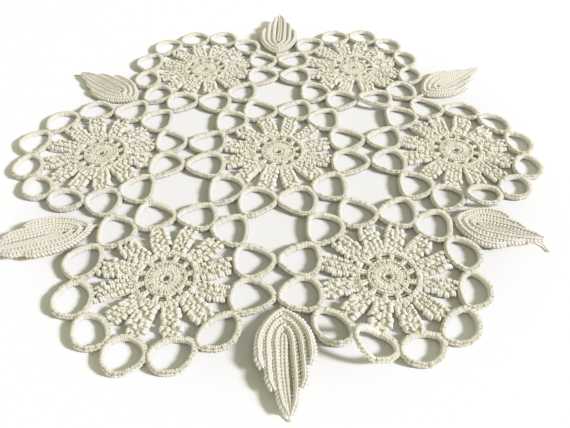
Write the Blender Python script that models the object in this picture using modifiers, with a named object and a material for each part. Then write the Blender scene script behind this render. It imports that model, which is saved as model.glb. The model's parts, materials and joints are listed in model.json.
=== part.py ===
"""Crochet doily: seven raised flowers, each in a wreath of twelve crocheted rings, and six ribbed leaves.

Metres, +Z up. The doily lies on the plane z = 0, with the middle flower round the origin.
"""
import math
from collections import namedtuple

import bmesh
import bpy
from mathutils import Vector

MM = 0.001

# Layout
FLOWER_PITCH = 110 * MM  # centre to centre of neighbouring flowers
RING_COUNT = 12  # rings in one wreath, with a petal behind each
SEAM_GAP = 0.3 * MM  # left between pieces that are sewn together

# Rings: an upright band of single crochet
BAND_WIDTH = 2.7 * MM
BAND_TOP_WIDTH = 1.9 * MM
BAND_HEIGHT = 3.6 * MM
RING_OUTER_STEPS = 3  # sides in each outer quarter of a ring
RING_INNER_STEPS = 2  # sides in each inner quarter
RING_LENGTH_RANGE = (17.0 * MM, 20.5 * MM)  # of a free ring, outside, away from the flower's centre
RING_HALF_WIDTH = 9.9 * MM  # widest, outside, but where it is drawn to its neighbour
RING_SHARED_WIDTH = 0.7 * MM  # of the band where two rings are crocheted together
RING_DRAWN_ANGLE = math.radians(38)  # how much of a ring is drawn out towards a neighbour
JOINED_RING_POINT = 0.28  # how far a ring that meets another flower's ring is pointed

# Flower: a turned middle and twelve petals
MIDDLE_STEPS = 24  # sides of the turned middle
PETAL_ROOT_RADIUS = 14.6 * MM
PETAL_TIP_RADIUS = 33.2 * MM  # where a petal meets the inner end of its ring

# Leaf: ribs of single crochet bent round a middle rib, the outer ones shorter
LEAF_ARCHED_RIBS = 3
LEAF_LINES = 2 * LEAF_ARCHED_RIBS + 1  # grooves and ridges from the edge to the middle rib
LEAF_THICKNESS = 1.7 * MM
LEAF_RIB_RISE = 0.9 * MM
LEAF_ROOT_HEIGHT = 0.4 * MM
LEAF_BEND_SHARE = 0.29  # of the leaf's length, from its root to where the innermost rib bends
LEAF_FULL_SHARE = 0.42  # where the leaf is full width
LEAF_INNER_FULL = 0.4  # how much sooner its innermost lines are, as a factor
LEAF_ROUNDING = 0.72  # how blunt its root is, less is blunter
LEAF_TIP_SHARE = 0.22  # of its spread left at the tip
LEAF_CURL = 1.5  # how late its edges and its tip turn up

MERGE_DISTANCE = 0.001 * MM
SMOOTH_ANGLE = math.radians(40)
COTTON_COLOUR = (0.80, 0.77, 0.66, 1.0)
COTTON_ROUGHNESS = 0.9

# Each flower: its direction from the middle one in degrees
FLOWERS = {
    "middle": None,
    "right": 0,
    "back_right": 60,
    "back_left": 120,
    "left": 180,
    "front_left": 240,
    "front_right": 300,
}

# Rings, anticlockwise from the +X side: distance of the ring's middle from the flower's centre
# in millimetres, and its direction in degrees
RING_MIDDLES = {
    "middle": (
        (46.0, 15), (43.6, 45), (44.0, 76), (44.6, 107), (42.7, 138), (46.2, 169),
        (46.4, 197), (45.6, 228), (44.8, 255), (44.6, 284), (44.0, 314), (45.5, 345),
    ),
    "right": (
        (40.8, 8), (40.6, 40), (42.0, 72), (45.6, 102), (44.0, 131), (46.1, 164),
        (43.8, 194), (44.2, 225), (42.4, 252), (40.6, 280), (42.4, 308), (42.2, 337),
    ),
    "back_right": (
        (41.5, 14), (43.0, 45), (45.6, 75), (44.9, 104), (45.0, 135), (46.4, 165),
        (45.0, 197), (44.2, 227), (42.8, 254), (42.8, 284), (44.0, 316), (42.0, 343),
    ),
    "back_left": (
        (42.7, 13), (43.0, 46), (44.8, 76), (45.3, 106), (45.4, 136), (43.9, 168),
        (42.9, 200), (43.6, 228), (42.9, 255), (43.2, 284), (43.4, 315), (44.2, 346),
    ),
    "left": (
        (42.8, 15), (44.2, 46), (46.0, 78), (46.0, 107), (46.6, 136), (46.2, 166),
        (43.0, 197), (42.4, 226), (41.8, 255), (42.6, 284), (42.9, 313), (43.6, 345),
    ),
    "front_left": (
        (44.4, 13), (42.6, 44), (41.8, 75), (42.7, 106), (43.6, 138), (45.2, 167),
        (44.8, 196), (42.3, 225), (43.4, 253), (42.8, 282), (42.2, 314), (44.8, 343),
    ),
    "front_right": (
        (42.8, 19), (44.0, 47), (45.6, 76), (45.0, 103), (43.3, 134), (45.2, 164),
        (44.2, 194), (40.6, 224), (40.4, 254), (40.8, 284), (41.2, 316), (41.6, 348),
    ),
}

# Rings of neighbouring flowers that are sewn together, counted as in RING_MIDDLES from 0
JOINED_RINGS = (
    ("middle", 0, "right", 5), ("middle", 11, "right", 6),
    ("middle", 2, "back_right", 7), ("middle", 1, "back_right", 8),
    ("middle", 4, "back_left", 9), ("middle", 3, "back_left", 10),
    ("middle", 6, "left", 11), ("middle", 5, "left", 0),
    ("middle", 8, "front_left", 1), ("middle", 7, "front_left", 2),
    ("middle", 10, "front_right", 3), ("middle", 9, "front_right", 4),
    ("right", 4, "back_right", 9), ("right", 3, "back_right", 10),
    ("back_right", 6, "back_left", 11), ("back_right", 5, "back_left", 0),
    ("back_left", 8, "left", 1), ("back_left", 7, "left", 2),
    ("left", 10, "front_left", 3), ("left", 9, "front_left", 4),
    ("front_left", 0, "front_right", 5), ("front_left", 11, "front_right", 6),
    ("front_right", 2, "right", 7), ("front_right", 1, "right", 8),
)

# Rings that stand up off the table: flower, ring, height of the outer edge, the left and the right in mm
RAISED_RINGS = {
    ("front_right", 8): (3.5, 0.0, 6.5),
    ("back_right", 9): (1.5, 0.0, 2.0),
    ("right", 9): (1.0, 0.0, 1.5),
}

# Leaves in millimetres. The stalk is sewn to the rings, and a rise is how far the tip or an edge,
# seen from the root, turns up; the taper is how late the leaf narrows
Leaf = namedtuple("Leaf", "root_x root_y tip_x tip_y half_width stalk tip_rise left_rise right_rise taper")
LEAVES = {
    "front": Leaf(2.4, -112.4, 5.9, -163.6, 13.4, 1.0, 1.6, 4.6, 3.6, 3.6),
    "front_right": Leaf(95.8, -56.8, 137.5, -74.0, 14.2, 2.5, 2.5, 0.6, 1.0, 1.7),
    "back_right": Leaf(100.2, 60.1, 145.0, 89.5, 13.8, 6.4, 1.5, 0.8, 0.6, 2.2),
    "back": Leaf(-1.5, 117.0, 0.5, 168.5, 14.8, 10.4, 4.0, 1.6, 1.2, 4.5),
    "back_left": Leaf(-99.1, 57.2, -144.4, 89.2, 14.2, 5.4, 0.8, 0.6, 0.8, 2.8),
    "front_left": Leaf(-99.5, -59.8, -152.0, -81.0, 13.6, 3.7, 4.0, 2.5, 2.0, 2.8),
}

# How far along a leaf its lengthwise lines have points, as a share; the outer ribs end at two of them
LEAF_STATIONS = (0.0, 0.012, 0.05, 0.16, 0.34, 0.58, 0.76, 0.90, 1.0)
RIB_ENDS = (0.58, 0.76, 1.0)

# Half-section of a flower's turned middle: radius and height in mm
MIDDLE_PROFILE = (
    (0.0, 2.3),  # dimple round the start of the work
    (6.7, 2.8),
    (9.6, 2.5),  # edge of the disc
    (12.6, 1.6),  # low open round
    (15.2, 3.1),  # ridge
    (16.6, 1.9),
    (16.6, 0.0),
    (0.0, 0.0),
)

# Petal, from root to tip: share of its length, then half width, height of its two ridges and depth
# of the groove between them in mm
PetalRow = namedtuple("PetalRow", "share half_width height groove")
PETAL_ROWS = (
    PetalRow(0.0, 3.1, 2.6, 0.3),
    PetalRow(0.45, 4.2, 3.6, 1.2),
    PetalRow(0.85, 4.9, 3.4, 1.2),
    PetalRow(1.0, 3.2, 2.2, 0.5),
)
PETAL_RIDGE_SHARE = 0.55  # of the half width, from the petal's middle to a ridge


def new_collection(name):
    made = bpy.data.collections.new(name)
    bpy.context.scene.collection.children.link(made)
    return made


def new_cotton():
    made = bpy.data.materials.new("cotton")
    made.use_nodes = True
    shader = made.node_tree.nodes["Principled BSDF"]
    shader.inputs["Base Color"].default_value = COTTON_COLOUR
    shader.inputs["Roughness"].default_value = COTTON_ROUGHNESS
    shader.inputs["Metallic"].default_value = 0.0
    return made


def polar(radius, angle):
    return Vector((radius * math.cos(angle), radius * math.sin(angle), 0.0))


def flower_centre(name):
    direction = FLOWERS[name]
    return Vector((0, 0, 0)) if direction is None else polar(FLOWER_PITCH, math.radians(direction))


def ring_middle(flower, number):
    """A ring's middle, measured from its flower's centre."""
    distance, direction = RING_MIDDLES[flower][number % RING_COUNT]
    return polar(distance * MM, math.radians(direction))


def joint_of(flower, number):
    """Where a ring meets another flower's ring, from its own flower's centre, or None for a free ring."""
    for first, first_ring, second, second_ring in JOINED_RINGS:
        if (flower, number) in ((first, first_ring), (second, second_ring)):
            one = flower_centre(first) + ring_middle(first, first_ring)
            other = flower_centre(second) + ring_middle(second, second_ring)
            return (one + other) / 2 - flower_centre(flower)
    return None


def ring_ends(flower, number):
    """Inner and outer end of a ring, outside the band."""
    middle = ring_middle(flower, number)
    joint = joint_of(flower, number)
    outward = middle.normalized()
    if joint:
        inner = outward * (PETAL_TIP_RADIUS + SEAM_GAP)
        outer = joint - (joint - inner).normalized() * SEAM_GAP / 2
        return inner, outer
    shortest, longest = RING_LENGTH_RANGE
    length = 2 * (middle.length - PETAL_TIP_RADIUS - SEAM_GAP)
    length = min(max(length, shortest), longest)
    return middle - outward * length / 2, middle + outward * length / 2


def ring_centre(flower, number):
    inner, outer = ring_ends(flower, number % RING_COUNT)
    return (inner + outer) / 2


def ring_line(flower, number):
    """The middle line of a ring's band: points round it, anticlockwise from its outer end."""
    inner, outer = ring_ends(flower, number)
    centre = (inner + outer) / 2
    outward = (outer - inner).normalized()
    left = Vector((-outward.y, outward.x, 0.0))
    half_length = (outer - inner).length / 2 - BAND_WIDTH / 2
    point = JOINED_RING_POINT if joint_of(flower, number) else 0.0
    quarters = ((1, RING_OUTER_STEPS), (1, RING_INNER_STEPS), (-1, RING_INNER_STEPS), (-1, RING_OUTER_STEPS))

    def oval(turn, half_width):
        across = half_width * math.sin(turn) * (1 - point * math.cos(turn))
        return outward * half_length * math.cos(turn) + left * across

    line = []
    start = 0.0
    for quarter, (side, steps) in enumerate(quarters):
        towards = ring_centre(flower, number + side) - centre
        drawn = towards.normalized() * (towards.length + RING_SHARED_WIDTH - BAND_WIDTH) / 2
        half_width = min(drawn.length, RING_HALF_WIDTH - BAND_WIDTH / 2)
        meeting = math.atan2(side * drawn.dot(left) * half_length, drawn.dot(outward) * half_width) * side
        meeting %= 2 * math.pi
        pull = drawn - oval(meeting, half_width)
        end = (meeting, math.pi, meeting, 2 * math.pi)[quarter]
        for step in range(steps):
            turn = start + (end - start) * step / steps
            nearness = math.exp(-((turn - meeting) / RING_DRAWN_ANGLE) ** 2)
            line.append(centre + oval(turn, half_width) + pull * nearness)
        start = end
    rises = [MM * rise for rise in RAISED_RINGS.get((flower, number), (0, 0, 0))]
    for place in line:
        way = (place - centre) / half_length
        shares = (max(way.dot(outward), 0), max(way.dot(left), 0), max(-way.dot(left), 0))
        place.z = sum(rise * share for rise, share in zip(rises, shares))
    return line


def band_profile(helpers):
    """Cross-section of a ring's band: flat below, narrower on top."""
    curve = bpy.data.curves.new("band_profile", "CURVE")
    curve.dimensions = "2D"
    foot, top = BAND_WIDTH / 2, BAND_TOP_WIDTH / 2
    corners = ((foot, 0.0), (top, BAND_HEIGHT), (-top, BAND_HEIGHT), (-foot, 0.0))
    spline = curve.splines.new("POLY")
    spline.points.add(len(corners) - 1)
    for point, (across, up) in zip(spline.points, corners):
        point.co = (across, up, 0, 1)
    spline.use_cyclic_u = True
    profile = bpy.data.objects.new("band_profile", curve)
    profile.hide_render = True
    profile.display_type = "WIRE"
    helpers.objects.link(profile)
    return profile


def ring(flower, number, profile, collection):
    """One ring, its band swept along its middle line."""
    curve = bpy.data.curves.new("ring", "CURVE")
    curve.dimensions = "3D"
    curve.twist_mode = "Z_UP"
    curve.bevel_mode = "OBJECT"
    curve.bevel_object = profile
    line = ring_line(flower, number)
    spline = curve.splines.new("POLY")
    spline.points.add(len(line) - 1)
    for point, place in zip(spline.points, line):
        point.co = (*place, 1)
    spline.use_cyclic_u = True
    swept = bpy.data.objects.new("ring", curve)
    collection.objects.link(swept)
    return as_mesh(swept)


def as_mesh(obj):
    """The object's evaluated shape as a plain mesh object, which takes its place."""
    bpy.context.view_layer.update()
    graph = bpy.context.evaluated_depsgraph_get()
    mesh = bpy.data.meshes.new_from_object(obj.evaluated_get(graph))
    clean = bmesh.new()
    clean.from_mesh(mesh)
    bmesh.ops.remove_doubles(clean, verts=clean.verts, dist=MERGE_DISTANCE)
    bmesh.ops.recalc_face_normals(clean, faces=clean.faces)
    clean.to_mesh(mesh)
    clean.free()
    made = bpy.data.objects.new(obj.name, mesh)
    made.matrix_world = obj.matrix_world.copy()
    for collection in obj.users_collection:
        collection.objects.link(made)
    bpy.data.objects.remove(obj, do_unlink=True)
    return made


def united(name, pieces):
    """One solid from pieces that overlap."""
    whole, others = pieces[0], pieces[1:]
    group = bpy.data.collections.new(name)
    for other in others:
        group.objects.link(other)
    union = whole.modifiers.new("union", "BOOLEAN")
    union.operation = "UNION"
    union.operand_type = "COLLECTION"
    union.collection = group
    union.solver = "EXACT"
    whole = as_mesh(whole)
    for other in others:
        bpy.data.objects.remove(other, do_unlink=True)
    bpy.data.collections.remove(group)
    return whole


def finish(whole, name, material):
    whole.name = name
    whole.data.name = name
    whole.data.materials.clear()
    whole.data.materials.append(material)
    whole.data.shade_smooth()
    whole.data.set_sharp_from_angle(angle=SMOOTH_ANGLE)


def flower_middle(collection):
    """The flower's middle, turned from its half-section."""
    edges = [(k, k + 1) for k in range(len(MIDDLE_PROFILE) - 1)]
    mesh = bpy.data.meshes.new("middle")
    mesh.from_pydata([(radius * MM, 0.0, height * MM) for radius, height in MIDDLE_PROFILE], edges, [])
    middle = bpy.data.objects.new("middle", mesh)
    turned = middle.modifiers.new("turned", "SCREW")
    turned.steps = MIDDLE_STEPS
    turned.render_steps = MIDDLE_STEPS
    turned.use_merge_vertices = True
    turned.merge_threshold = MERGE_DISTANCE
    collection.objects.link(middle)
    return as_mesh(middle)


def petal(flower, number, collection):
    """One petal, a loft from the flower's ridge to its ring: two lengthwise ridges with a groove between."""
    inner, _ = ring_ends(flower, number)
    tip = inner.normalized() * (inner.length - SEAM_GAP)
    root = polar(PETAL_ROOT_RADIUS, (number + 0.5) * 2 * math.pi / RING_COUNT)
    forward = (tip - root).normalized()
    left = Vector((-forward.y, forward.x, 0.0))
    shape = bmesh.new()
    loops = []
    for row in PETAL_ROWS:
        middle = root.lerp(tip, row.share)
        section = (
            (-1.0, 0.0), (-PETAL_RIDGE_SHARE, row.height), (0.0, row.height - row.groove),
            (PETAL_RIDGE_SHARE, row.height), (1.0, 0.0),
        )
        loop = []
        for across, up in section:
            offset = left * across * row.half_width + Vector((0.0, 0.0, up))
            loop.append(shape.verts.new(middle + offset * MM))
        loops.append(loop)
    for near, far in zip(loops, loops[1:]):
        for k in range(len(near)):
            after = (k + 1) % len(near)
            shape.faces.new((near[k], near[after], far[after], far[k]))
    shape.faces.new(loops[0])
    shape.faces.new(loops[-1])
    bmesh.ops.recalc_face_normals(shape, faces=shape.faces)
    mesh = bpy.data.meshes.new("petal")
    shape.to_mesh(mesh)
    shape.free()
    made = bpy.data.objects.new("petal", mesh)
    collection.objects.link(made)
    return made


def wreath(flower, profile, material, collection):
    """The twelve rings round a flower, each crocheted to the next."""
    rings = [ring(flower, number, profile, collection) for number in range(RING_COUNT)]
    whole = united("rings", rings)
    whole.location = flower_centre(flower)
    finish(whole, "rings_" + flower, material)


def flower_head(flower, material, collection):
    pieces = [flower_middle(collection)]
    pieces += [petal(flower, number, collection) for number in range(RING_COUNT)]
    whole = united("flower", pieces)
    whole.location = flower_centre(flower)
    finish(whole, "flower_" + flower, material)


def leaf_spread(share, outwards, taper):
    """How far out a line of a leaf is at a share of its length; inner lines bend more tightly."""
    full_share = LEAF_FULL_SHARE * (LEAF_INNER_FULL + (1 - LEAF_INNER_FULL) * outwards)
    if share < full_share:
        return math.sin(math.pi / 2 * share / full_share) ** LEAF_ROUNDING
    if share < LEAF_FULL_SHARE:
        return 1.0
    past = (share - LEAF_FULL_SHARE) / (1 - LEAF_FULL_SHARE)
    return 1 - (1 - LEAF_TIP_SHARE) * past ** taper


def leaf_point(leaf, line, station, side):
    """A point on one of a leaf's lengthwise lines, which are counted from its edge: even ones are grooves."""
    root = Vector((leaf.root_x, leaf.root_y, 0.0)) * MM
    forward = Vector((leaf.tip_x, leaf.tip_y, 0.0)) * MM - root
    left = Vector((-forward.y, forward.x, 0.0)).normalized()
    outwards = 1 - line / LEAF_LINES
    bend = (1 - outwards) * LEAF_BEND_SHARE
    along = bend + (1 - bend) * LEAF_STATIONS[station]
    across = side * outwards * leaf_spread(LEAF_STATIONS[station], outwards, leaf.taper)
    edge_rise = leaf.left_rise if side > 0 else leaf.right_rise
    rise = LEAF_ROOT_HEIGHT + LEAF_THICKNESS + (LEAF_RIB_RISE if line % 2 else 0.0)
    rise += MM * leaf.tip_rise * along ** LEAF_CURL
    rise += MM * edge_rise * abs(across) ** LEAF_CURL * math.sqrt(along)
    place = root + forward * along + left * across * leaf.half_width * MM
    if station == 0 and line == 0:
        place -= forward.normalized() * leaf.stalk * MM
    return place + Vector((0.0, 0.0, rise))


def leaf_surface(leaf):
    """The leaf's upper side: strips between its lengthwise lines, each from the root to its rib's end."""
    shape = bmesh.new()
    made = {}

    def vert(line, station, side):
        side = 0 if station == 0 or line == LEAF_LINES else side
        key = (line, station, side)
        if key not in made:
            made[key] = shape.verts.new(leaf_point(leaf, line, station, side))
        return made[key]

    for line in range(LEAF_LINES):
        end = RIB_ENDS[min(line // 2, LEAF_ARCHED_RIBS - 1)]
        for station in range(LEAF_STATIONS.index(end)):
            for side in (1, -1):
                corners = [vert(line, station, side), vert(line, station + 1, side),
                           vert(line + 1, station + 1, side), vert(line + 1, station, side)]
                shape.faces.new(dict.fromkeys(corners[::side]))
    bmesh.ops.recalc_face_normals(shape, faces=shape.faces)
    if sum(face.normal.z for face in shape.faces) < 0:
        bmesh.ops.reverse_faces(shape, faces=shape.faces)
    mesh = bpy.data.meshes.new("leaf")
    shape.to_mesh(mesh)
    shape.free()
    return mesh


def leaf(name, material, collection):
    whole = bpy.data.objects.new("leaf", leaf_surface(LEAVES[name]))
    collection.objects.link(whole)
    sheet = whole.modifiers.new("sheet", "SOLIDIFY")
    sheet.thickness = LEAF_THICKNESS
    sheet.offset = -1
    finish(whole, "leaf_" + name, material)


def main():
    for obj in list(bpy.data.objects):
        bpy.data.objects.remove(obj, do_unlink=True)
    doily = new_collection("crochet_doily")
    helpers = new_collection("helpers")
    cotton = new_cotton()
    profile = band_profile(helpers)
    for flower in FLOWERS:
        flower_head(flower, cotton, doily)
        wreath(flower, profile, cotton, doily)
    for name in LEAVES:
        leaf(name, cotton, doily)


main()
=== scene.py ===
import json
import math
import random

import bmesh
import bpy
from mathutils import Matrix, Vector

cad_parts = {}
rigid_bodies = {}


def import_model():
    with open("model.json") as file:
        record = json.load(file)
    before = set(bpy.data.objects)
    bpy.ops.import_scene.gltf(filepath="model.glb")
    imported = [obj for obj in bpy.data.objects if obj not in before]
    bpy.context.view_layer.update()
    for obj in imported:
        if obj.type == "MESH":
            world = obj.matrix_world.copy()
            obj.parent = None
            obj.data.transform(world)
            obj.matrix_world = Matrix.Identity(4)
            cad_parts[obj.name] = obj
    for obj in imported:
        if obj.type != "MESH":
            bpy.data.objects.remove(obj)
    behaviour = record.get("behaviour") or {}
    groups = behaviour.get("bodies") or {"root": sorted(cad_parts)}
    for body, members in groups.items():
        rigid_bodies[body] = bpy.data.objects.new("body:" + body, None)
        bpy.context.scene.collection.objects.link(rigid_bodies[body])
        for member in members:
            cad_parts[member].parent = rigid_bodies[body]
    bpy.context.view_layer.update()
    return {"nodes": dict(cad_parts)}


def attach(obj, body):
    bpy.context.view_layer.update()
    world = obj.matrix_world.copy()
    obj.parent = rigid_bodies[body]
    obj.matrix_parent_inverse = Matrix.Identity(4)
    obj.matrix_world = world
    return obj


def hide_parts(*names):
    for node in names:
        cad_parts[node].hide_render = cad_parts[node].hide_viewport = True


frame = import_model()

mm = 0.001
stitchVariants = 3  # versions of each stitch
print("doily: the packed model is in, with", len(frame["nodes"]), "nodes")


def addObject(name, data):
    made = bpy.data.objects.new(name, data)
    bpy.context.scene.collection.objects.link(made)
    return made


def meshOf(shape, name, *materials):
    # a mesh from a bmesh, which is freed
    mesh = bpy.data.meshes.new(name)
    shape.to_mesh(mesh)
    shape.free()
    for material in materials:
        mesh.materials.append(material)
    return mesh


def evaluatedMesh(made):
    bpy.context.view_layer.update()
    return bpy.data.meshes.new_from_object(made.evaluated_get(bpy.context.evaluated_depsgraph_get()))


def setInputs(tree, node, inputs):
    # by name or number, each a socket to link or a plain value
    for name, value in inputs.items():
        if hasattr(value, "is_linked"):
            tree.links.new(value, node.inputs[name])
        else:
            node.inputs[name].default_value = value


def addNode(tree, kind, inputs=None, **settings):
    node = tree.nodes.new(kind)
    for name, value in settings.items():
        setattr(node, name, value)
    setInputs(tree, node, inputs or {})
    return node


def addSockets(tree, way, *sockets):
    # each is a name, a kind and, for some, a value
    for name, kind, *value in sockets:
        made = tree.interface.new_socket(name, in_out=way, socket_type="NodeSocket" + kind)
        if value:
            made.default_value = value[0]


def shareOf(tree, value, low, high, **settings):
    # how far a value lies from low to high
    inputs = {"Value": value, "From Min": low, "From Max": high}
    return addNode(tree, "ShaderNodeMapRange", inputs, **settings).outputs["Result"]


def mixTones(tree, share, first, second):
    # each tone is a colour or a socket
    tones = [tone if hasattr(tone, "is_linked") else (*tone, 1) for tone in (first, second)]
    inputs = {0: share, 6: tones[0], 7: tones[1]}
    return addNode(tree, "ShaderNodeMix", inputs, data_type="RGBA").outputs[2]


# the photograph's viewpoint
view = {
    "lens": 32.54,  # on the usual 36 mm sensor
    "clipStart": 0.01,  # metres
    "target": (4.07, -53.58, 3.0),  # mm
    "distance": 282.15,  # mm
    "turn": 0.51,  # degrees to the right of the doily's own front
    "tilt": 47.30,  # degrees above the table
    "roll": -0.85,
}

cameraData = bpy.data.cameras.new("camera")
cameraData.lens = view["lens"]
cameraData.clip_start = view["clipStart"]
camera = addObject("camera", cameraData)
bpy.context.scene.camera = camera
aim = Matrix.Rotation(math.radians(view["turn"]), 4, "Z")
aim @= Matrix.Rotation(math.radians(90 - view["tilt"]), 4, "X")
aim @= Matrix.Rotation(math.radians(view["roll"]), 4, "Z")
away = aim @ Vector((0, 0, view["distance"] * mm))
camera.matrix_world = Matrix.Translation(Vector(view["target"]) * mm + away) @ aim
print("doily: camera set")


# A low window on the right, a wall behind that it lights, and the pale room round them
light = {
    "sun": (-14, 26),  # degrees from +X, anticlockwise, and degrees above the table
    "window": (-17, 31),
    "windowDistance": 1.8,  # metres
    "paperStrength": 9.6,
    "cottonStrength": 3.1,
    "colour": (0.98, 0.965, 1.0),
    "softness": 11.0,  # degrees across, as seen from the doily
    "wallAt": (330, 300, 260),  # mm, the lit wall behind on the right
    "wallSize": 320,  # mm
    "wallPower": 0.6,
    "room": (0.60, 0.61, 0.44),
    "roomLevel": 0.95,
    "horizon": (0.9, 0.9, 0.88),
    "horizonBand": (0.02, 0.16),  # heights between which the horizon's tone turns into the room's
    "white": 2.6,  # brightness that prints as white
    "shoulder": (
        (0.2, 0.2), (0.4, 0.4), (0.6, 0.6), (0.8, 0.79),
        (0.95, 0.90), (1.1, 0.955), (1.25, 0.985), (1.4, 1.0),
    ),
}
paperOnly = bpy.data.collections.new("paperOnly")
cottonOnly = bpy.data.collections.new("cottonOnly")


def makeLamp(name, kind, colour, place, lit=None):
    # a lamp at a place in metres, turned to the middle of the doily
    made = bpy.data.lights.new(name, kind)
    made.color = colour
    lamp = addObject(name, made)
    lamp.matrix_world = Matrix.Translation(place) @ place.to_track_quat("Z", "Y").to_matrix().to_4x4()
    if lit:
        lamp.light_linking.receiver_collection = lit
    return made


def lampPlace(direction):
    turn, height = [math.radians(angle) for angle in direction]
    flat = math.cos(height)
    return Vector((math.cos(turn) * flat, math.sin(turn) * flat, math.sin(height))) * light["windowDistance"]


def makeLamps():
    # the sun lights the paper evenly; the window lights the cotton, more so on the right
    spread, distance = math.radians(light["softness"]), light["windowDistance"]
    sun = makeLamp("sun", "SUN", light["colour"], lampPlace(light["sun"]), paperOnly)
    sun.energy = light["paperStrength"]
    sun.angle = spread
    window = makeLamp("window", "POINT", light["colour"], lampPlace(light["window"]), cottonOnly)
    window.energy = light["cottonStrength"] * 4 * math.pi * distance ** 2
    window.shadow_soft_size = distance * math.tan(spread / 2)
    wall = makeLamp("wall", "AREA", light["room"], Vector(light["wallAt"]) * mm)
    wall.size = light["wallSize"] * mm
    wall.energy = light["wallPower"]


def makeRoom():
    world = bpy.data.worlds.new("room")
    bpy.context.scene.world = world
    world.use_nodes = True
    tree = world.node_tree
    tree.nodes.clear()
    place = addNode(tree, "ShaderNodeTexCoord").outputs["Generated"]
    height = addNode(tree, "ShaderNodeSeparateXYZ", {0: place}).outputs["Z"]
    share = shareOf(tree, height, *light["horizonBand"])
    tone = mixTones(tree, share, light["horizon"], light["room"])
    air = addNode(tree, "ShaderNodeBackground", {"Color": tone, "Strength": light["roomLevel"]})
    addNode(tree, "ShaderNodeOutputWorld", {"Surface": air.outputs[0]})


def makeFloor():
    values = {
        "size": 40.0,
        "under": (0.485, 0.48, 0.49),  # beneath the doily, darker as painted shade
        "round": (0.76, 0.755, 0.77),
        "start": 0.125,  # metres from the middle, where the paper begins to lighten
        "end": 0.175,
        "roughness": 0.7,
        "gloss": 0.15,
    }
    half = values["size"] / 2
    mesh = bpy.data.meshes.new("floor")
    corners = [(half * x, half * y, 0) for x, y in ((-1, -1), (1, -1), (1, 1), (-1, 1))]
    mesh.from_pydata(corners, [], [(0, 1, 2, 3)])
    floor = addObject("floor", mesh)
    paper = bpy.data.materials.new("paper")
    paper.use_nodes = True
    tree = paper.node_tree
    place = addNode(tree, "ShaderNodeTexCoord").outputs["Object"]
    far = addNode(tree, "ShaderNodeVectorMath", {0: place}, operation="LENGTH").outputs["Value"]
    share = shareOf(tree, far, values["start"], values["end"], interpolation_type="SMOOTHSTEP")
    setInputs(tree, tree.nodes["Principled BSDF"], {
        "Base Color": mixTones(tree, share, values["under"], values["round"]),
        "Roughness": values["roughness"],
        "Specular IOR Level": values["gloss"],
    })
    mesh.materials.append(paper)
    paperOnly.objects.link(floor)


makeLamps()
makeRoom()
makeFloor()


def setPrint():
    # plain print with a soft shoulder, so that lit cotton keeps its colour
    settings = bpy.context.scene.view_settings
    settings.view_transform = "Standard"
    settings.use_curve_mapping = True
    mapping = settings.curve_mapping
    mapping.white_level = [light["white"]] * 3
    tone = mapping.curves[3]
    for bright, shown in light["shoulder"]:
        tone.points.new(bright / light["white"], shown)
    mapping.update()


setPrint()
print("doily: light and floor set")


# Cotton: one yarn in three tones, for the strands, the ground under them and the leaves' grooves; the
# grooves' darker tone is painted shade, and strands darken towards their ends with painted shade
cotton = {
    "strand": (0.80, 0.765, 0.745),
    "strandWarm": (0.775, 0.728, 0.665),
    "paintedShade": (0.61, 0.56, 0.38),  # painted shade where a strand dips into the work
    "ground": (0.82, 0.78, 0.68),
    "groundWarm": (0.76, 0.71, 0.59),
    # painted shade: the darker tone of the leaves' ground, seen between the ribs
    "paintedGrooveShade": (0.61, 0.56, 0.40),
    "paintedGrooveShadeWarm": (0.55, 0.50, 0.34),
    "roughness": 0.88,
    "sheen": 0.25,
    "sheenRoughness": 0.5,
    "gloss": 0.25,
    "fibreScale": 2600.0,
    "fibreDetail": 2.0,
    "fibreHeight": 0.05 * mm,
    "bump": 0.8,
    "patchScale": 90.0,
    "patchDetail": 4.0,
    "patchEnds": (0.35, 0.68),  # between them the first tone turns into the warm one
    "crestTop": 0.8,  # from here up a strand has its full tone, free of painted shade
}


def makeYarnEffect():
    # height of the fibres on a strand, and a mask for its tone
    tree = bpy.data.node_groups.new("yarnSurface", "ShaderNodeTree")
    scales = ("Fibre Scale", "Float", cotton["fibreScale"]), ("Patch Scale", "Float", cotton["patchScale"])
    addSockets(tree, "INPUT", *scales)
    addSockets(tree, "OUTPUT", ("Height", "Float"), ("Patches", "Float"))
    given = addNode(tree, "NodeGroupInput").outputs
    place = addNode(tree, "ShaderNodeTexCoord").outputs["Object"]
    fibre = {"Vector": place, "Scale": given["Fibre Scale"], "Detail": cotton["fibreDetail"]}
    patch = {"Vector": place, "Scale": given["Patch Scale"], "Detail": cotton["patchDetail"]}
    addNode(tree, "NodeGroupOutput", {
        "Height": addNode(tree, "ShaderNodeTexNoise", fibre).outputs["Fac"],
        "Patches": addNode(tree, "ShaderNodeTexNoise", patch).outputs["Fac"],
    })
    return tree


yarnEffect = makeYarnEffect()


def makeCotton(name, paintedShade=None):
    made = bpy.data.materials.new(name + "Cotton")
    made.use_nodes = True
    tree = made.node_tree
    surface = addNode(tree, "ShaderNodeGroup", node_tree=yarnEffect).outputs
    patches = shareOf(tree, surface["Patches"], *cotton["patchEnds"])
    tone = mixTones(tree, patches, cotton[name], cotton[name + "Warm"])
    # painted shade: strands are mixed towards the shade tone where the crest attribute is low, at their ends
    if paintedShade:
        crest = addNode(tree, "ShaderNodeAttribute", attribute_name="crest").outputs["Fac"]
        tone = mixTones(tree, shareOf(tree, crest, 0, cotton["crestTop"]), paintedShade, tone)
    relief = {"Height": surface["Height"], "Distance": cotton["fibreHeight"], "Strength": cotton["bump"]}
    setInputs(tree, tree.nodes["Principled BSDF"], {
        "Base Color": tone,
        "Roughness": cotton["roughness"],
        "Specular IOR Level": cotton["gloss"],
        "Sheen Weight": cotton["sheen"],
        "Sheen Roughness": cotton["sheenRoughness"],
        "Normal": addNode(tree, "ShaderNodeBump", relief).outputs["Normal"],
    })
    return made


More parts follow.
